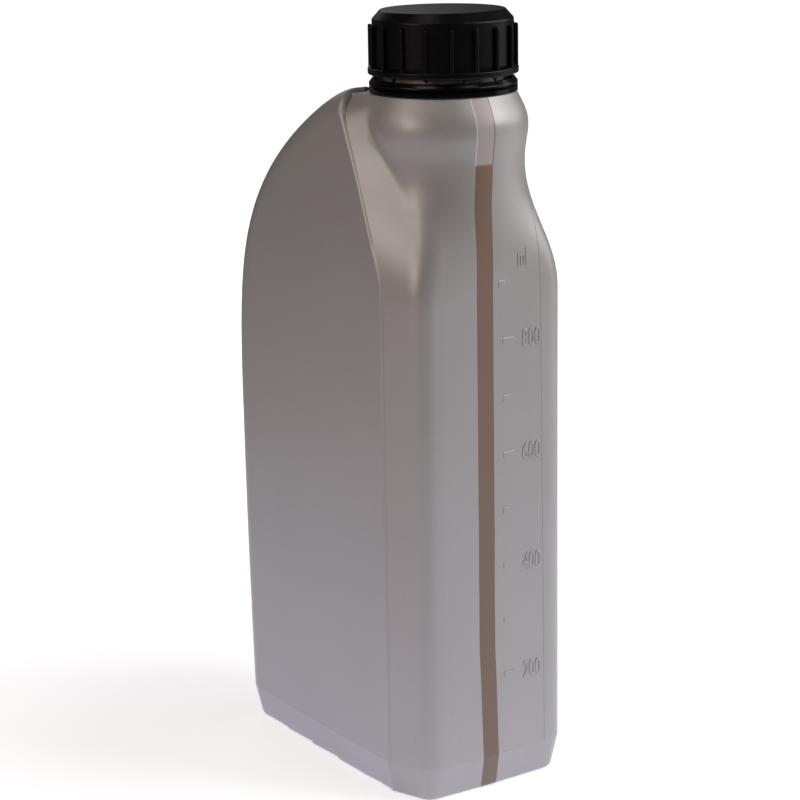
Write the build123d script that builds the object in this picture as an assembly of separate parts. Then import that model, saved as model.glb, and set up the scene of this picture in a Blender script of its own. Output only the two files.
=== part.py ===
from build123d import *
import math
import os

# One-litre lubricant bottle: a blow-moulded shell with a flat-sided body, a round neck column that
# grows out of the front, a ribbed screw cap, its tamper band, the foam liner and the oil inside.
# Millimetres. X runs from the back wall to the front face, Y across the broad sides, Z is up,
# and the origin is the middle of the footprint on the standing plane.

# Body of the bottle
body_length = 103.0         # back wall to front face, which is flush with the neck dome
body_width = 61.8           # across the two broad panels
wall = 1.0                  # blown wall
base_wall = 2.0             # floor, thicker where the parison was pinched off
panel_crown = 0.9           # how far each broad panel bulges between its ends
panel_lean = 2.6            # how far each broad panel leans in by the top of the shoulder
edge_round = 8.5            # rounding of the back corners and of the shoulder's edges
facet_round = 1.8           # rounding where a broad panel meets the slanted front facet
foot_taper = (2.4, 11.0)    # inwards and up, from the standing plane to the parting line round the foot
foot_round = 2.2            # rounding of the foot's lower edge
foot_ring = 8.0             # from the body's outline in to the hollow under the base
push_up = 2.4               # depth of the hollow under the base
push_up_slope = 45.0        # degrees, of the hollow's sides
back_draft = 2.6            # how far the back wall leans out between the foot and its fullest height
back_full = 108.0           # height where the back wall is fullest

# Shoulder curve: set-back from the back wall, and height
shoulder_knee = (10.4, 172.4)
shoulder_middle = (29.6, 194.8)
shoulder_high = (50.0, 208.3)
shoulder_slope = 0.2        # rise of the shoulder where it meets the facet's top
curve_steps = 12            # points that carry a curve over to its drawn-in copy

# Slanted facet that ends the flat-sided body beside the neck column: set-back from the front, and height
facet_foot = (13.7, 154.0)
facet_top = (40.0, 213.4)
facet_bend = 1.34           # 1 for a straight facet, more for one that starts upright
facet_steps = 4             # stretches of the facet's curve

# Front corners of the body: a chamfer, rounded into a nearly flat front face
corner_inset = 0.9          # the corner's edge lies this much inside the fullest panel
chamfer_depth = 5.0
corner_round = 7.0
front_crown = 0.6           # how far the front face bulges at its middle
flare_start = facet_foot[1] # height where the panels begin to lean in and the corners to draw in
flare_end = 190.0           # height where the column is round
chamfer_share = 0.34        # share of the half outline that the chamfer takes
outline_steps = 12          # stretches of the half outline
column_levels = 16          # stretches of the column's height, from the flare to the seat
wing_top = 203.0            # height where the chamfer's edge leaves the broad panel and tucks in
wing_stand = 1.5            # how far the tucked edge reaches past the column, at the seat
wing_cover = 0.5            # how deep the chamfer's edge lies behind the facet
crease_top = 97.0           # angle from the front to the crease beside the column, at the dome's fullest

# Neck column and dome, about the neck axis
waist_radius = 23.9
waist_height = 192.5
flare_radius = 28.0         # of the column's round, carried down to where the corners begin to draw in
dome_radius = 25.0
dome_height = 203.0
seat_radius = 21.6          # flat ring on the dome, where the tamper band stands
seat_height = 212.0
dome_fullness = 1.5         # 1 for a straight slope from the dome to the seat, more for a fuller one
moat_clearance = 1.3        # room between the tamper band and the shoulder beside it

# Neck finish
neck_radius = 17.6
bore_radius = 15.4
rim_height = 231.0
bead_radius = 19.0          # bead that the tamper band snaps under
bead_bottom = 214.3
bead_height = 1.3

# Tamper band
band_radius = 21.9
band_height = 4.2
band_round = 0.45
groove_depth = 0.6
groove_height = 0.7
groove_bottom = 1.6         # above the band's foot
band_bevel = (0.9, 1.2)     # inwards and down, round the band's top
band_clearance = 0.4        # room round the neck and its bead

# Cap
cap_height = 236.0          # top of the cap above the standing plane
skirt_radius = 22.2
skirt_gap = 1.3             # open slot between the band and the skirt
skirt_height = 2.7
skirt_slope = 1.0           # height of the sloped ledge on the skirt
skirt_round = 0.35
grip_radius = 20.8
cap_top_radius = 18.4
cap_shoulder = 2.7          # height of the bevel round the cap's top
crown_round = 0.7           # rounding along both edges of that bevel
cap_bore = 19.2
cap_roof = 2.6
rib_count = 18
rib_width = 1.25
rib_stand = 1.25            # how far a rib stands out from the grip wall
rib_top = 231.8
bridge_count = 12
pattern_turn = 11.7         # degrees that the ribs and bridges are turned from the front
bridge_width = 1.5
bridge_depth = 0.8
bridge_gap = 0.15           # break between a bridge's tip and the band

# Liner and oil
liner_clearance = 0.3
oil_level = 193.0
oil_clearance = 0.3

front_face = body_length / 2
back_face = -body_length / 2
neck_x = front_face - dome_radius
half_width = body_width / 2
band_top = seat_height + band_height
skirt_bottom = band_top + skirt_gap
skirt_top = skirt_bottom + skirt_height
ceiling = cap_height - cap_roof


def on_neck(shape):
    return Pos(neck_x, 0, 0) * shape


def turned(*edges):
    """Solid of revolution about the neck axis, from edges drawn as radius and height."""
    return on_neck(revolve(Plane.XZ * make_face(list(edges)), Axis.Z))


def rims(solid, radius):
    """Round edges of a turned piece that are wider than a given radius."""
    rounds = solid.edges().filter_by(GeomType.CIRCLE)
    return rounds.filter_by(lambda edge: edge.radius > radius)


def ease(share):
    """Smooth rise from 0 to 1, level at both ends."""
    share = min(max(share, 0.0), 1.0)
    return share * share * (3 - 2 * share)


def column_radius(height):
    """Radius of the neck column: flare, waist, dome, then the slope up to the band's seat."""
    if height <= waist_height:
        share = (waist_height - height) / (waist_height - flare_start)
        return waist_radius + (flare_radius - waist_radius) * min(share, 1.0) ** 2
    if height <= dome_height:
        share = (height - waist_height) / (dome_height - waist_height)
        return waist_radius + (dome_radius - waist_radius) * ease(share)
    share = (height - dome_height) / (seat_height - dome_height)
    return dome_radius - (dome_radius - seat_radius) * share ** dome_fullness


def panel_side(inset):
    """The body as bounded by one broad panel, which is crowned and leans in over the shoulder."""
    reach = body_length / 2
    crown_radius = (reach ** 2 + panel_crown ** 2) / (2 * panel_crown)
    side = half_width - inset
    top = facet_top[1] + edge_round
    lean = panel_lean * ((top - flare_start) / (facet_top[1] - flare_start)) ** 2
    upright = Line((-side, 0), (-side, flare_start))
    leaning = TangentArc((-side, flare_start), (lean - side, top), tangent=(0, 1))
    core = Polyline((lean - side, top), (body_width, top), (body_width, 0), (-side, 0))
    section = Plane.YZ * make_face([upright, leaning, core])
    turn = 2 * math.degrees(math.asin((reach + edge_round) / (crown_radius - 2 * body_width)))
    axis = Axis((0, crown_radius - half_width, 0), (0, 0, 1))
    return revolve(section.rotate(axis, -turn / 2), axis, revolution_arc=turn)


def half_width_at(height):
    """Half the body's width at mid-length, with the panels' lean."""
    share = max(height - flare_start, 0.0) / (facet_top[1] - flare_start)
    return half_width - panel_lean * share ** 2


def facet_x(height):
    """Where the slanted facet stands at a given height."""
    share = max(height - facet_foot[1], 0.0) / (facet_top[1] - facet_foot[1])
    return front_face - facet_foot[0] - (facet_top[0] - facet_foot[0]) * share ** facet_bend


def drawn_in(curve, inset):
    """Smooth curve that runs beside another, on its right-hand side."""
    points = []
    for step in range(curve_steps + 1):
        share = step / curve_steps
        heading = curve % share
        points.append(curve @ share + Vector(heading.Y, -heading.X) * inset)
    return Spline(*points, tangents=[curve % 0, curve % 1])


def behind_back(inset):
    """Side view of all that lies in front of the bowed back wall and under the long shoulder curve."""
    shoulder = [(back_face + x, z) for x, z in (shoulder_knee, shoulder_middle, shoulder_high)]
    curve = drawn_in(Spline(
        (back_face + back_draft, 0), (back_face, back_full), *shoulder, (facet_x(facet_top[1]), facet_top[1]),
        tangents=[(-back_draft, back_full / 2), (1, shoulder_slope)]), inset)
    start = curve @ 0
    end = curve @ 1
    far = end + (curve % 1) * body_length
    return make_face([curve, Polyline(end, far, (far.X, -foot_round), (start.X, -foot_round), start)])


def behind_facet(inset):
    """Side view of all that lies behind the upright corner edge and the slanted facet above it."""
    rise = (facet_top[1] - facet_foot[1]) / facet_steps
    heights = [facet_top[1] - step * rise for step in range(facet_steps + 1)]
    lean = facet_bend * (facet_top[0] - facet_foot[0]) / (facet_top[1] - facet_foot[1])
    curve = drawn_in(Spline(
        *[(facet_x(height), height) for height in heights], tangents=[(lean, -1), (0, -1)]), inset)
    top = curve @ 0
    foot = curve @ 1
    peak = top - (curve % 0) * body_length
    far = back_face - edge_round
    behind = Polyline(foot, (foot.X, -foot_round), (far, -foot_round), (far, peak.Y), peak, top)
    return make_face([curve, behind])


def foot_edges(solid):
    """Edges round a solid's standing face that lie on its outside."""
    base = solid.edges().group_by(Axis.Z)[0]
    return base.filter_by(lambda edge: edge.geom_type != GeomType.LINE or edge.center().X < back_face / 2)


def taper_foot(solid):
    """Draw the foot in, from the parting line down to the standing plane."""
    base = solid.faces().sort_by(Axis.Z)[0]
    return chamfer(foot_edges(solid), foot_taper[0], foot_taper[1], reference=base)


def slab(inset):
    """Flat-sided body with its shoulder, rounded along the back corners and over the shoulder."""
    blank = panel_side(inset)
    blank &= mirror(blank, Plane.XZ)
    for view in (behind_back(inset), behind_facet(inset)):
        blank &= extrude(Pos(0, body_width, 0) * (Plane.XZ * view), amount=2 * body_width)
    outer = blank.edges().filter_by(lambda edge: abs(edge.center().Y) > half_width / 2)
    long_edges = outer.filter_by(lambda edge: edge.geom_type != GeomType.CIRCLE)
    return taper_foot(fillet(long_edges.filter_by(lambda edge: edge.center().X < 0), edge_round - inset))


def round_facet(solid):
    """Soften the edge that runs up the front corner, round the slanted facet and over its top."""
    def on_facet(edge):
        middle = edge.center()
        along_panel = abs(middle.Y) > half_width / 2 or middle.Z > facet_top[1] - wall
        return abs(middle.X - facet_x(middle.Z)) < wall and middle.Z > foot_round and along_panel
    return fillet(solid.edges().filter_by(on_facet), facet_round)


def front_outline(height, inset):
    """Plan outline of the body's front, from the chamfered corners below to the round column above."""
    share = ease((height - flare_start) / (flare_end - flare_start))
    radius = column_radius(height) - inset
    nose = front_face - inset
    corner_side = half_width_at(height) - corner_inset - inset
    knuckle = Vector(nose - front_crown, chamfer_depth - corner_side)
    climb = min(max((height - flare_start) / (dome_height - flare_start), 0.0), 1.0)
    tuck = ease((height - wing_top) / (seat_height - wing_top))
    wing_side = corner_side * (1 - tuck) + (radius + wing_stand) * tuck
    wing = Vector(facet_x(height) - inset - climb * wing_cover, -wing_side)
    crease_foot = math.degrees(math.atan2(-knuckle.Y, knuckle.X - neck_x))
    angle = math.radians(crease_foot + (crease_top - crease_foot) * climb ** 2)
    corner = FilletPolyline(wing, knuckle, (nose, 0), radius=corner_round)
    points = []
    for step in range(outline_steps + 1):
        along = step / outline_steps
        if along < chamfer_share:
            crease = Vector(neck_x + radius * math.cos(angle), -radius * math.sin(angle))
            upper = wing + (crease - wing) * (along / chamfer_share)
        else:
            swing = angle * (1 - along) / (1 - chamfer_share)
            upper = Vector(neck_x + radius * math.cos(swing), -radius * math.sin(swing))
        points.append(corner @ along * (1 - share) + upper * share)
    points += [Vector(point.X, -point.Y) for point in reversed(points[:-1])]
    tail = neck_x - waist_radius / 2
    root = Polyline(points[-1], (tail, waist_radius / 2), (tail, -waist_radius / 2), points[0])
    return Pos(0, 0, height) * make_face([Spline(*points), root])


def column(inset, top):
    """Front of the body: chamfered corners below, drawn in to the round neck column and its dome."""
    step = (top - flare_start) / column_levels
    upper = loft([front_outline(flare_start + level * step, inset) for level in range(column_levels + 1)])
    return upper + taper_foot(extrude(front_outline(0, inset), amount=flare_start))


def below(height):
    """Everything under a given height."""
    return Pos(0, 0, height) * Box(
        2 * body_length, 2 * body_width, 2 * cap_height, align=(Align.CENTER, Align.CENTER, Align.MAX))


def post(radius, bottom, top):
    """Round post on the neck axis."""
    return on_neck(Pos(0, 0, bottom) * Cylinder(
        radius, top - bottom, align=(Align.CENTER, Align.CENTER, Align.MIN)))


def moat(inset):
    """Room round the tamper band, cut out of the shoulder beside it."""
    return post(band_radius + moat_clearance + inset, seat_height - inset, cap_height)


def hollow(inset):
    """Room inside the shell, drawn in by a given inset and closed below by the raised floor."""
    body = slab(inset) - moat(inset) + column(inset, seat_height - inset)
    return body - below(push_up + base_wall - wall + inset)


def bottle():
    """The blown shell: body, shoulder, neck column, hollow base and neck finish, as one wall."""
    body = slab(0)
    front = column(0, seat_height)
    shell = round_facet(fillet(foot_edges(body), foot_round)) - moat(0)
    shell += fillet(foot_edges(front), foot_round)
    shell += post(neck_radius, dome_height, rim_height)
    shell += post(bead_radius, bead_bottom, bead_bottom + bead_height)
    base = RectangleRounded(body_length - 2 * foot_ring, body_width - 2 * foot_ring, edge_round)
    shell -= extrude(base, amount=push_up, taper=push_up_slope)
    return shell - hollow(wall) - post(bore_radius, dome_height, cap_height)


def oil_fill():
    """The oil, a hair clear of the wall, up to its level."""
    return hollow(wall + oil_clearance) & below(oil_level)


def tamper_band():
    """Ring left on the neck below the cap, grooved round its middle, with a lip under the neck's bead."""
    inner = bead_radius + band_clearance
    lip = neck_radius + band_clearance
    lip_top = bead_bottom - band_clearance
    groove = seat_height + groove_bottom
    ring = turned(Polyline(
        (lip, seat_height), (band_radius, seat_height), (band_radius, groove),
        (band_radius - groove_depth, groove + groove_height / 2), (band_radius, groove + groove_height),
        (band_radius, band_top - band_bevel[1]), (band_radius - band_bevel[0], band_top), (inner, band_top),
        (inner, lip_top), (lip, lip_top), (lip, seat_height)))
    levels = rims(ring, band_radius - groove_depth / 2).group_by(Axis.Z)
    return fillet(levels[0] + levels[-1], band_round)


def cap_body():
    """Skirt with its sloped ledge, grip wall and bevelled top, hollow from below."""
    shoulder = cap_height - cap_shoulder
    plain = turned(Polyline(
        (cap_bore, ceiling), (cap_bore, skirt_bottom), (skirt_radius, skirt_bottom),
        (skirt_radius, skirt_top - skirt_slope), (grip_radius, skirt_top), (grip_radius, shoulder),
        (cap_top_radius, cap_height), (0, cap_height), (0, ceiling), (cap_bore, ceiling)))
    body = fillet(rims(plain, skirt_radius - skirt_round), skirt_round)
    bevel = rims(body, grip_radius - crown_round).group_by(Axis.Z)[-1]
    disc = rims(body, 0).group_by(Axis.Z)[-1]
    return fillet(bevel + disc, crown_round)


def cap():
    """Screw cap with its grip ribs and the bridges that led to the tamper band."""
    rib_round = rib_width / 2
    rib_centre = grip_radius + rib_stand - rib_round
    root = grip_radius - rib_round
    rib_foot = skirt_top - skirt_slope
    rib_rise = rib_top - rib_round - rib_foot
    rib = Pos(rib_centre, 0, rib_foot) * Cylinder(
        rib_round, rib_rise, align=(Align.CENTER, Align.CENTER, Align.MIN))
    rib += Pos(rib_centre, 0, rib_foot + rib_rise) * Sphere(rib_round)
    rib += Pos(root, 0, rib_foot) * Box(
        rib_centre - root, rib_width, rib_rise, align=(Align.MIN, Align.CENTER, Align.MIN))
    tip = band_top + bridge_gap
    wedge = make_face(Polyline(
        (-bridge_width / 2, skirt_bottom), (bridge_width / 2, skirt_bottom), (0, tip),
        (-bridge_width / 2, skirt_bottom)))
    bridge_root = band_radius - band_bevel[0] - bridge_depth
    bridge = Pos(bridge_root, 0, 0) * extrude(Plane.YZ * wedge, amount=bridge_depth)
    ribs = [Rot(0, 0, 360 * turn / rib_count) * rib for turn in range(rib_count)]
    bridges = [Rot(0, 0, 360 * turn / bridge_count) * bridge for turn in range(bridge_count)]
    return cap_body() + [on_neck(Rot(0, 0, pattern_turn) * piece) for piece in ribs + bridges]


def cap_liner():
    """Foam wad that lies on the neck's rim, under the cap's ceiling."""
    return post(cap_bore - liner_clearance, rim_height, ceiling - liner_clearance)


os.makedirs("parts", exist_ok=True)
for make in (bottle, oil_fill, tamper_band, cap, cap_liner):
    export_step(make(), f"parts/{make.__name__}.step")
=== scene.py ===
import bmesh
import bpy
import math
from mathutils import Matrix, Vector
from mathutils.bvhtree import BVHTree


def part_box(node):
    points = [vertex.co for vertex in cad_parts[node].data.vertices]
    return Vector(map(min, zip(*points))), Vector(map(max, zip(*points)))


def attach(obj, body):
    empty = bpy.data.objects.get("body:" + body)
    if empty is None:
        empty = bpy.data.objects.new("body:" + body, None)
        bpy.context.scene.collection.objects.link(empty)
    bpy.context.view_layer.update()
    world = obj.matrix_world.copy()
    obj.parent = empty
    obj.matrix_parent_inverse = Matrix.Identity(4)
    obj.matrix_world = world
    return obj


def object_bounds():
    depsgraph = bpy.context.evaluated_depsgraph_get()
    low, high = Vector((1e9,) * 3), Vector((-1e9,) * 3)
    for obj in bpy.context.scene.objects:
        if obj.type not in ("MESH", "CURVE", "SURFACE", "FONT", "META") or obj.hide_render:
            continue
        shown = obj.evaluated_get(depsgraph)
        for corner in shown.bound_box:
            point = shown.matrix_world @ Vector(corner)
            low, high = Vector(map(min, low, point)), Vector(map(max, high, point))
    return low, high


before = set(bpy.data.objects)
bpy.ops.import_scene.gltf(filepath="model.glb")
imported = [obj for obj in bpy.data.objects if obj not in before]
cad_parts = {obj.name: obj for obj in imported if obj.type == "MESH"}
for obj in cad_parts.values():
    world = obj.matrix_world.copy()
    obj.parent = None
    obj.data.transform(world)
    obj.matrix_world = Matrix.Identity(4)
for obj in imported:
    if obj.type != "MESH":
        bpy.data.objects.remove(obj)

cad_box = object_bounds()

# The bottle's shell: one blow-moulded wall of HDPE, pigmented silver-grey, with a clear stripe
# co-extruded down the front so that the oil's level shows. The mould's blasted face leaves it satin.
# The stripe swings aside at the foot and under the dome, where the parison was stretched.
MM = 0.001
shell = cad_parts["bottle"]
neck_x = (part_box("cap")[0].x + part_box("cap")[1].x) / 2
oil_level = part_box("oil_fill")[1].z
silver_grey = "#a39f9c"
dark_fleck = "#989490"
pale_cloud = "#a9a5a3"
stripe_empty = "#aea5a1"
stripe_oil = "#7d6654"
# The stripe's two edge colours below are a painted highlight and a painted shade.
stripe_edge_painted_highlight = "#c8c4bf"
stripe_edge_painted_shade = "#7f7773"
stripe_middle = -3.6 * MM
stripe_half = 2.85 * MM
stripe_edge = 0.22 * MM
stripe_waver = 0.4 * MM
waver_length = 25 * MM
foot_swing_top = 45 * MM
foot_swing = 2.0 * MM
body_swing = 0.4 * MM
dome_swing_foot = 177 * MM
dome_swing_top = 193 * MM
dome_swing = 1.0 * MM
meniscus = 0.4 * MM
mould_grit = 0.5 * MM  # coarser than the real grit, so that it shows
grit_depth = 0.05 * MM
grit_strength = 0.12
fleck_size = 1.3 * MM
fleck_onset = 0.68
fleck_full = 0.84
cloud_size = 22 * MM
pearl = 0.35
shell_satin = 0.42
hdpe_ior = 1.54


def linear(colour):
    """An sRGB hex colour as the linear RGBA that shaders take."""
    shares = [int(colour[place:place + 2], 16) / 255 for place in (1, 3, 5)]
    return [share / 12.92 if share <= 0.04045 else ((share + 0.055) / 1.055) ** 2.4 for share in shares] + [1]


def add(tree, kind, links, **settings):
    """Adds a node; each link is a socket's name or number with a value or another node's output."""
    made = tree.nodes.new(kind)
    for name, value in settings.items():
        setattr(made, name, value)
    for socket, source in links.items():
        if isinstance(source, bpy.types.NodeSocket):
            tree.links.new(source, made.inputs[socket])
        else:
            made.inputs[socket].default_value = source
    return made


def new_material(name):
    """An empty node material and its tree."""
    material = bpy.data.materials.new(name)
    material.use_nodes = True
    material.node_tree.nodes.clear()
    return material, material.node_tree


def coat(node, material):
    """Gives a CAD node its one material."""
    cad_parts[node].data.materials.clear()
    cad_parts[node].data.materials.append(material)


# Silver-grey HDPE: flake pigment gives a broad pearly sheen, with faint specks and clouds in the wall.
hdpe, tree = new_material("HDPE_silver_grey")
place = add(tree, "ShaderNodeTexCoord", {}).outputs["Object"]
spot = add(tree, "ShaderNodeSeparateXYZ", {0: place})
waver = add(tree, "ShaderNodeTexNoise", {"Vector": place, "Scale": 1 / waver_length, "Detail": 1.0})
lean = add(tree, "ShaderNodeMapRange", {
    0: spot.outputs["Z"], 1: 0.0, 2: foot_swing_top, 3: foot_swing, 4: body_swing})
kick = add(tree, "ShaderNodeMapRange", {
    0: spot.outputs["Z"], 1: dome_swing_foot, 2: dome_swing_top, 3: 0.0, 4: dome_swing},
    interpolation_type="SMOOTHSTEP")
drift = add(tree, "ShaderNodeMath", {0: lean.outputs[0], 1: kick.outputs[0]}, operation="ADD")
wavy = add(tree, "ShaderNodeMath", {0: waver.outputs[0], 1: stripe_waver, 2: spot.outputs["Y"]},
           operation="MULTIPLY_ADD")
offset = add(tree, "ShaderNodeMath", {0: wavy.outputs[0], 1: drift.outputs[0]}, operation="SUBTRACT")
across = add(tree, "ShaderNodeMath", {0: offset.outputs[0], 1: stripe_middle, 2: stripe_half},
             operation="COMPARE")
front = add(tree, "ShaderNodeMath", {0: spot.outputs["X"], 1: neck_x}, operation="GREATER_THAN")
stripe = add(tree, "ShaderNodeMath", {0: across.outputs[0], 1: front.outputs[0]}, operation="MULTIPLY")
fleck = add(tree, "ShaderNodeTexNoise", {"Vector": place, "Scale": 1 / fleck_size, "Detail": 2.0})
flecked = add(tree, "ShaderNodeMapRange", {0: fleck.outputs[0], 1: fleck_onset, 2: fleck_full})
cloud = add(tree, "ShaderNodeTexNoise", {"Vector": place, "Scale": 1 / cloud_size, "Detail": 1.0})
clouded = add(tree, "ShaderNodeMix", {
    0: cloud.outputs[0], 6: linear(silver_grey), 7: linear(pale_cloud)}, data_type="RGBA")
grey = add(tree, "ShaderNodeMix", {
    0: flecked.outputs[0], 6: clouded.outputs[2], 7: linear(dark_fleck)}, data_type="RGBA")
above = add(tree, "ShaderNodeMapRange", {
    0: spot.outputs["Z"], 1: oil_level - meniscus, 2: oil_level + meniscus})
seen = add(tree, "ShaderNodeMix", {
    0: above.outputs[0], 6: linear(stripe_oil), 7: linear(stripe_empty)}, data_type="RGBA")
walled = add(tree, "ShaderNodeMix", {0: stripe.outputs[0], 6: grey.outputs[2], 7: seen.outputs[2]},
             data_type="RGBA")
# Painted highlight and painted shade: a thin lighter line along the stripe's -Y edge and a darker line along
# its +Y edge, above the oil only.
for side, colour in ((-1, stripe_edge_painted_highlight), (1, stripe_edge_painted_shade)):
    line = add(tree, "ShaderNodeMath", {
        0: offset.outputs[0], 1: stripe_middle + side * stripe_half, 2: stripe_edge}, operation="COMPARE")
    dry = add(tree, "ShaderNodeMath", {0: line.outputs[0], 1: above.outputs[0]}, operation="MULTIPLY")
    shown = add(tree, "ShaderNodeMath", {0: dry.outputs[0], 1: front.outputs[0]}, operation="MULTIPLY")
    walled = add(tree, "ShaderNodeMix", {0: shown.outputs[0], 6: walled.outputs[2], 7: linear(colour)},
                 data_type="RGBA")
grit = add(tree, "ShaderNodeTexNoise", {"Vector": place, "Scale": 1 / mould_grit, "Detail": 2.0})
bump = add(tree, "ShaderNodeBump", {
    "Height": grit.outputs[0], "Strength": grit_strength, "Distance": grit_depth})
flake = add(tree, "ShaderNodeMapRange", {0: stripe.outputs[0], 3: pearl, 4: 0.0})
skin = add(tree, "ShaderNodeBsdfPrincipled", {
    "Base Color": walled.outputs[2], "Metallic": flake.outputs[0], "Roughness": shell_satin, "IOR": hdpe_ior,
    "Normal": bump.outputs[0]})
add(tree, "ShaderNodeOutputMaterial", {0: skin.outputs[0]})
coat("bottle", hdpe)

# The graduations: bars and numbers that the mould's insert raises on the front face beside the
# stripe, every 100 ml, so that what is left can be read. Same wall and plastic as the shell.
first_hundred = 2
last_hundred = 9
scale_foot = 37.5 * MM
scale_step = 17.34 * MM
bar_left = 2.7 * MM
long_bar = 4.4 * MM
short_bar = 2.5 * MM
bar_height = 2.0 * MM
bar_slope = 0.26 * MM
top_bar_shift = -1.5 * MM
figure_left = 10.0 * MM
figure_size = (7.0 * MM, 5.7 * MM)
figure_depth = 0.02  # shares of the letter's own size
figure_slope = 0.03
unit_left = 8.4 * MM
unit_top = 168.0 * MM
unit_size = (3.7 * MM, 5.7 * MM)
raised = 0.2 * MM
sunk = 0.4 * MM
shell_tree = BVHTree.FromObject(shell, bpy.context.evaluated_depsgraph_get())
clear_of_front = cad_box[1].x + cad_box[1].z


def lay_on_front(mesh):
    """Sets a mesh that is drawn about x = 0 down on the front face."""
    for vertex in mesh.vertices:
        start = Vector((clear_of_front, vertex.co.y, vertex.co.z))
        met = shell_tree.ray_cast(start, Vector((-1, 0, 0)))[0]
        vertex.co.x += met.x
    mesh.update()


def show(name, mesh, material, body):
    """Shows a finished piece that rides on a body."""
    piece = bpy.data.objects.new(name, mesh)
    bpy.context.scene.collection.objects.link(piece)
    mesh.materials.clear()
    mesh.materials.append(material)
    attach(piece, body)


def bar(left, top, length):
    """A raised bar with sloped edges."""
    made = bmesh.new()
    bmesh.ops.create_cube(made, size=1.0)
    bmesh.ops.scale(made, verts=made.verts, vec=(raised + sunk, length, bar_height))
    bmesh.ops.translate(
        made, verts=made.verts, vec=((raised - sunk) / 2, left + length / 2, top - bar_height / 2))
    bmesh.ops.bevel(
        made, geom=made.edges[:], offset=bar_slope, segments=2, profile=0.5, affect="EDGES", material=-1)
    mesh = bpy.data.meshes.new("bar")
    made.to_mesh(mesh)
    made.free()
    return mesh


def drawn(curve):
    """The mesh of a curve or text."""
    holder = bpy.data.objects.new("drawn", curve)
    mesh = bpy.data.meshes.new_from_object(holder)
    bpy.data.objects.remove(holder)
    return mesh


def figure(words, left, top, size):
    """Raised characters with sloped edges, drawn to a given width and height."""
    curve = bpy.data.curves.new("figure", "FONT")
    curve.body = words
    curve.extrude = figure_depth
    curve.bevel_depth = figure_slope
    curve.bevel_resolution = 1
    mesh = drawn(curve)
    low = Vector([min(vertex.co[axis] for vertex in mesh.vertices) for axis in range(3)])
    high = Vector([max(vertex.co[axis] for vertex in mesh.vertices) for axis in range(3)])
    span = high - low
    for vertex in mesh.vertices:
        share = [(vertex.co[axis] - low[axis]) / span[axis] for axis in range(3)]
        height = share[2] * (raised + sunk) - sunk
        vertex.co = (height, left + share[0] * size[0], top - (1 - share[1]) * size[1])
    return mesh


marks = {}
for hundred in range(first_hundred, last_hundred + 1):
    top = scale_foot + (hundred - first_hundred) * scale_step
    if hundred % 2:
        left = bar_left + (top_bar_shift if hundred == last_hundred else 0.0)
        marks[f"graduation_bar_{hundred}00"] = bar(left, top, short_bar)
    else:
        marks[f"graduation_bar_{hundred}00"] = bar(bar_left, top, long_bar)
        figure_top = top - bar_height / 2 + figure_size[1] / 2
        marks[f"graduation_figure_{hundred}00"] = figure(f"{hundred}00", figure_left, figure_top, figure_size)
marks["graduation_unit"] = figure("ml", unit_left, unit_top, unit_size)

# The witness line of the mould's insert: a hair of plastic that the joint round the graduated plate
# leaves on the front face, along the foot, up the far side and over the top.
witness = 0.08 * MM
witness_steps = 24
foot_line = ((1.5 * MM, 11.2 * MM), (9.5 * MM, 11.3 * MM), (18.4 * MM, 11.4 * MM))
side_line = (
    (18.4 * MM, 11.4 * MM), (18.0 * MM, 60 * MM), (17.4 * MM, 120 * MM), (16.8 * MM, 168 * MM),
    (17.2 * MM, 186 * MM), (15.0 * MM, 188.4 * MM), (9.0 * MM, 188.4 * MM), (1.1 * MM, 188.8 * MM))


def hairline(points):
    """A thin round ridge along a smooth line that some points, across and up, steer."""
    curve = bpy.data.curves.new("hairline", "CURVE")
    curve.dimensions = "3D"
    curve.bevel_depth = witness
    curve.bevel_resolution = 1
    curve.resolution_u = witness_steps
    spline = curve.splines.new("NURBS")
    spline.points.add(len(points) - 1)
    for point, (y, z) in zip(spline.points, points):
        point.co = (0, y, z, 1)
    spline.order_u = 3
    spline.use_endpoint_u = True
    return drawn(curve)


marks["insert_line_foot"] = hairline(foot_line)
marks["insert_line_side"] = hairline(side_line)
for name, mesh in marks.items():
    lay_on_front(mesh)
    show(name, mesh, hdpe, "bottle")

# The neck's screw thread: a ridge blown with the neck, two turns of a coarse trapezoid.
# One turn of the cap lifts it by the pitch.
pitch = 4.0 * MM
thread_turns = 2
thread_steps = 72
thread_root = 1.6 * MM
thread_crest = 0.7 * MM
neck_thread_foot = 220.5 * MM
neck_thread_root = 17.4 * MM
neck_thread_crest = 18.7 * MM
weld = 0.001 * MM


def thread(root, crest, foot):
    """A ridge that winds up round the neck's axis, from its root to its crest radius."""
    made = bmesh.new()
    corners = (
        (root, -thread_root / 2), (crest, -thread_crest / 2),
        (crest, thread_crest / 2), (root, thread_root / 2))
    profile = [made.verts.new((neck_x + radius, 0, foot + height)) for radius, height in corners]
    end = made.faces.new(profile)
    bmesh.ops.spin(
        made, geom=[end], cent=(neck_x, 0, 0), axis=(0, 0, 1), dvec=(0, 0, pitch / thread_steps),
        angle=2 * math.pi * thread_turns, steps=thread_steps * thread_turns)
    bmesh.ops.remove_doubles(made, verts=made.verts, dist=weld)
    bmesh.ops.recalc_face_normals(made, faces=made.faces)
    mesh = bpy.data.meshes.new("thread")
    made.to_mesh(mesh)
    made.free()
    return mesh


neck_ridge = thread(neck_thread_root, neck_thread_crest, neck_thread_foot)
show("neck_thread", neck_ridge, hdpe, "bottle")

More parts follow.
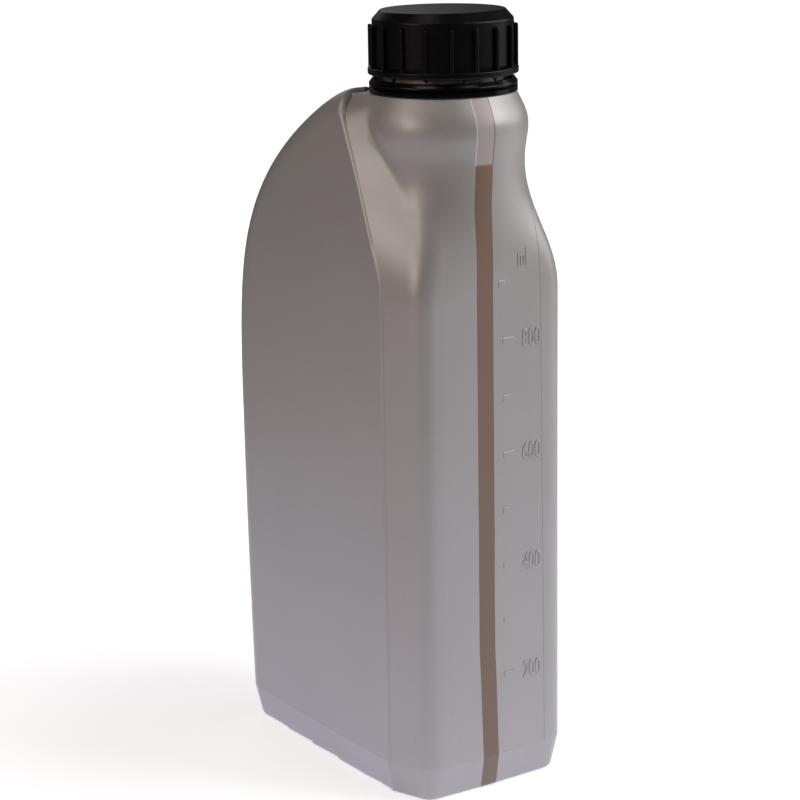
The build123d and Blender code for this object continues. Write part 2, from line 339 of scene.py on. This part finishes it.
# The oil: amber lubricant that fills the shell to just under the dome. It shows through the stripe.
# Mineral oil is clear and glossy, and slightly cloudy in so thick a body.
amber = "#7a4a18"
amber_cloud = "#8a5620"
oil_cloud_size = 30 * MM
oil_roughness = 0.08
oil_ior = 1.48
lubricant, tree = new_material("mineral_oil")
place = add(tree, "ShaderNodeTexCoord", {}).outputs["Object"]
haze = add(tree, "ShaderNodeTexNoise", {"Vector": place, "Scale": 1 / oil_cloud_size})
tint = add(tree, "ShaderNodeMix", {0: haze.outputs[0], 6: linear(amber), 7: linear(amber_cloud)},
           data_type="RGBA")
liquid = add(tree, "ShaderNodeBsdfPrincipled", {
    "Base Color": tint.outputs[2], "Roughness": oil_roughness, "IOR": oil_ior})
add(tree, "ShaderNodeOutputMaterial", {0: liquid.outputs[0]})
coat("oil_fill", lubricant)

# The tamper band: a ring of black polypropylene, injection-moulded in one with the cap and broken from it.
# It stays on the neck, under the neck's bead. Its polished face gives crisp, narrow highlights.
black = "#020202"
black_grain = "#070606"
grain_depth = 0.08 * MM
gloss_onset = 0.3
gloss_full = 0.7
gloss_spread = 0.06
pp_specular = 0.15
pp_ior = 1.5
band_grain = 0.9 * MM
band_strength = 0.06
band_satin = 0.2


def black_plastic(name, grain_size, strength, satin):
    """Black polypropylene with a moulded grain of a given size, strength and roughness."""
    polypropylene, tree = new_material(name)
    place = add(tree, "ShaderNodeTexCoord", {}).outputs["Object"]
    grain = add(tree, "ShaderNodeTexNoise", {"Vector": place, "Scale": 1 / grain_size, "Detail": 3.0})
    bump = add(tree, "ShaderNodeBump", {
        "Height": grain.outputs[0], "Strength": strength, "Distance": grain_depth})
    gloss = add(tree, "ShaderNodeMapRange", {
        0: grain.outputs[0], 1: gloss_onset, 2: gloss_full, 3: satin - gloss_spread, 4: satin + gloss_spread})
    shade = add(tree, "ShaderNodeMix", {
        0: grain.outputs[0], 6: linear(black), 7: linear(black_grain)}, data_type="RGBA")
    plastic = add(tree, "ShaderNodeBsdfPrincipled", {
        "Base Color": shade.outputs[2], "Roughness": gloss.outputs[0], "IOR": pp_ior,
        "Specular IOR Level": pp_specular, "Normal": bump.outputs[0]})
    add(tree, "ShaderNodeOutputMaterial", {0: plastic.outputs[0]})
    return polypropylene


coat("tamper_band", black_plastic("PP_black_polished", band_grain, band_strength, band_satin))

# The cap: injection-moulded black polypropylene with a spark-eroded grain, which spreads its highlights.
# Its screw thread, moulded inside the skirt half a pitch below the neck's, holds it on the neck.
cap_grain = 0.45 * MM  # coarser than the real grain, so that it shows
cap_strength = 0.4
cap_satin = 0.34
cap_thread_foot = neck_thread_foot - pitch / 2
cap_thread_root = 19.4 * MM
cap_thread_crest = 18.1 * MM
cap_plastic = black_plastic("PP_black_grained", cap_grain, cap_strength, cap_satin)
coat("cap", cap_plastic)
cap_ridge = thread(cap_thread_root, cap_thread_crest, cap_thread_foot)
show("cap_thread", cap_ridge, cap_plastic, "cap")

# The liner: a wad of white foamed polyethylene pressed into the cap's roof. It seals the neck's rim.
# The foam's cells show as fine dimples.
foam_white = "#e6e3dc"
foam_shade = "#d6d2c8"
foam_cell = 0.7 * MM  # coarser than the real cells, so that they show
dimple_depth = 0.1 * MM
dimple_strength = 0.3
foam_roughness = 0.7
foam_ior = 1.5
foam, tree = new_material("foamed_polyethylene")
place = add(tree, "ShaderNodeTexCoord", {}).outputs["Object"]
cells = add(tree, "ShaderNodeTexVoronoi", {"Vector": place, "Scale": 1 / foam_cell})
dimple = add(tree, "ShaderNodeBump", {
    "Height": cells.outputs[0], "Strength": dimple_strength, "Distance": dimple_depth})
pale = add(tree, "ShaderNodeMix", {
    0: cells.outputs[0], 6: linear(foam_white), 7: linear(foam_shade)}, data_type="RGBA")
wad = add(tree, "ShaderNodeBsdfPrincipled", {
    "Base Color": pale.outputs[2], "Roughness": foam_roughness, "IOR": foam_ior, "Normal": dimple.outputs[0]})
add(tree, "ShaderNodeOutputMaterial", {0: wad.outputs[0]})
coat("cap_liner", foam)

# The studio's camera, at the photograph's viewing angle: a long lens in front of the near corner,
# a little above the cap. Its angles are in radians, and its roll levels the bottle as photographed.
camera_at = Vector((592.502, -393.233, 293.795)) * MM
camera_yaw = 2.5551
camera_pitch = 0.2493
camera_roll = -0.0165
camera_lens = 105.25
sensor = 36.0
ahead = Vector((
    math.cos(camera_yaw) * math.cos(camera_pitch), math.sin(camera_yaw) * math.cos(camera_pitch),
    -math.sin(camera_pitch)))
level_right = ahead.cross(Vector((0, 0, 1))).normalized()
level_up = level_right.cross(ahead)
right = math.cos(camera_roll) * level_right + math.sin(camera_roll) * level_up
up = math.cos(camera_roll) * level_up - math.sin(camera_roll) * level_right
camera_data = bpy.data.cameras.new("camera")
camera_data.lens = camera_lens
camera_data.sensor_width = sensor
camera = bpy.data.objects.new("camera", camera_data)
camera.matrix_world = Matrix.Translation(camera_at) @ Matrix((right, up, -ahead)).transposed().to_4x4()
bpy.context.scene.collection.objects.link(camera)
bpy.context.scene.camera = camera

# The lamps: name, place, aim, size, power and colour. Broad ones stand off the far front corner and the
# far side, a smaller one draws the streak down the facet, and weak ones fill the top, foot and back.
body_middle = (0, 0, 0.12)
shoulder = (0.01, 0, 0.16)
lamps = (
    ("corner", (0.6, 0.6, 0.6), body_middle, 0.5, 4.6, "#fdfdff"),
    ("far_side", (0.2, 0.95, 0.5), body_middle, 0.5, 1.9, "#f8fcff"),
    ("far_foot", (0.3, 0.7, 0.1), body_middle, 0.4, 0.35, "#fff8ee"),
    ("streak", (0.14, -0.92, 0.46), shoulder, 0.32, 1.7, "#fff3ea"),
    ("near_high", (-0.08, -0.8, 0.72), shoulder, 0.3, 0.8, "#fff1e6"),
    ("overhead", (0.1, -0.4, 1.0), body_middle, 0.3, 1.06, "#fffbf8"),
    ("dome", (0.45, 0.15, 0.75), shoulder, 0.25, 0.54, "#fffaf4"),
    ("back", (-0.8, 0.3, 0.7), body_middle, 0.5, 0.8, "#ffffff"),
)
lamp_spread = math.radians(180)
for name, at, aim, size, power, colour in lamps:
    lamp_data = bpy.data.lights.new(name, "AREA")
    lamp_data.energy = power
    lamp_data.size = size
    lamp_data.spread = lamp_spread
    lamp_data.color = linear(colour)[:3]
    lamp = bpy.data.objects.new(name, lamp_data)
    lamp.location = at
    lamp.rotation_mode = "QUATERNION"
    lamp.rotation_quaternion = (Vector(aim) - Vector(at)).to_track_quat("-Z", "Y")
    lamp.visible_camera = False
    bpy.context.scene.collection.objects.link(lamp)

# The floor: a matt white painted sweep that runs into the white room and takes the bottle's shadow.
# Only glossy rays see a painted reflection on the floor about the foot: a bluish glow brighter than the
# floor, which fades into the dim room further off.
floor_white = "#f1f0f6"
floor_shade = "#f6f5fa"
floor_half = 6.0
mottle_size = 0.25
glow_start = 0.1
glow_end = 0.45
near_glow = 0.57
far_glow = 1.0
# The painted reflection: a bluish floor glow that only glossy rays see, strongest about the foot.
painted_reflection_glow = 1.32
painted_reflection_tint = "#e1e4ff"
painted_reflection_start = 0.05
painted_reflection_end = 0.6
white_light = (1, 1, 1, 1)
paint, tree = new_material("painted_floor")
rays = add(tree, "ShaderNodeLightPath", {})
place = add(tree, "ShaderNodeTexCoord", {}).outputs["Object"]
mottle = add(tree, "ShaderNodeTexNoise", {"Vector": place, "Scale": 1 / mottle_size})
tone = add(tree, "ShaderNodeMix", {
    0: mottle.outputs[0], 6: linear(floor_white), 7: linear(floor_shade)}, data_type="RGBA")
matt = add(tree, "ShaderNodeBsdfDiffuse", {"Color": tone.outputs[2]})
away = add(tree, "ShaderNodeVectorMath", {0: place}, operation="LENGTH")
# Painted reflection: emission that glossy rays alone see, fading out with distance from the foot.
near = add(tree, "ShaderNodeMapRange", {
    0: away.outputs["Value"], 1: painted_reflection_start, 2: painted_reflection_end, 3: painted_reflection_glow, 4: 0.0})
painted_reflection_strength = add(tree, "ShaderNodeMath", {0: rays.outputs["Is Glossy Ray"], 1: near.outputs[0]},
            operation="MULTIPLY")
painted_reflection = add(tree, "ShaderNodeEmission", {"Color": linear(painted_reflection_tint), "Strength": painted_reflection_strength.outputs[0]})
through = add(tree, "ShaderNodeMath", {
    0: rays.outputs["Is Camera Ray"], 1: rays.outputs["Is Transmission Ray"]}, operation="MAXIMUM")
faded = add(tree, "ShaderNodeMapRange", {
    0: away.outputs["Value"], 1: glow_start, 2: glow_end, 3: near_glow, 4: far_glow})
bright = add(tree, "ShaderNodeMath", {0: through.outputs[0], 1: faded.outputs[0]}, operation="MULTIPLY")
glow = add(tree, "ShaderNodeEmission", {"Color": white_light, "Strength": bright.outputs[0]})
shining = add(tree, "ShaderNodeAddShader", {0: painted_reflection.outputs[0], 1: glow.outputs[0]})
ground = add(tree, "ShaderNodeAddShader", {0: matt.outputs[0], 1: shining.outputs[0]})
add(tree, "ShaderNodeOutputMaterial", {0: ground.outputs[0]})
made = bmesh.new()
bmesh.ops.create_grid(made, x_segments=1, y_segments=1, size=floor_half)
floor_mesh = bpy.data.meshes.new("floor")
made.to_mesh(floor_mesh)
made.free()
floor_mesh.materials.append(paint)
floor = bpy.data.objects.new("floor", floor_mesh)
bpy.context.scene.collection.objects.link(floor)

# The room: white to the eye and through clear things, and dim in what it sheds on the bottle
# and in what the plastic mirrors of it.
room_light = 0.045
room_tint = "#fff0eb"
world = bpy.data.worlds.new("studio")
world.use_nodes = True
tree = world.node_tree
tree.nodes.clear()
rays = add(tree, "ShaderNodeLightPath", {})
through = add(tree, "ShaderNodeMath", {
    0: rays.outputs["Is Camera Ray"], 1: rays.outputs["Is Transmission Ray"]}, operation="MAXIMUM")
strength = add(tree, "ShaderNodeMix", {0: through.outputs[0], 2: room_light, 3: far_glow})
tint = add(tree, "ShaderNodeMix", {
    0: through.outputs[0], 6: linear(room_tint), 7: white_light}, data_type="RGBA")
sky = add(tree, "ShaderNodeBackground", {"Color": tint.outputs[2], "Strength": strength.outputs[0]})
add(tree, "ShaderNodeOutputWorld", {0: sky.outputs[0]})
bpy.context.scene.world = world
bpy.context.scene.view_settings.view_transform = "Standard"
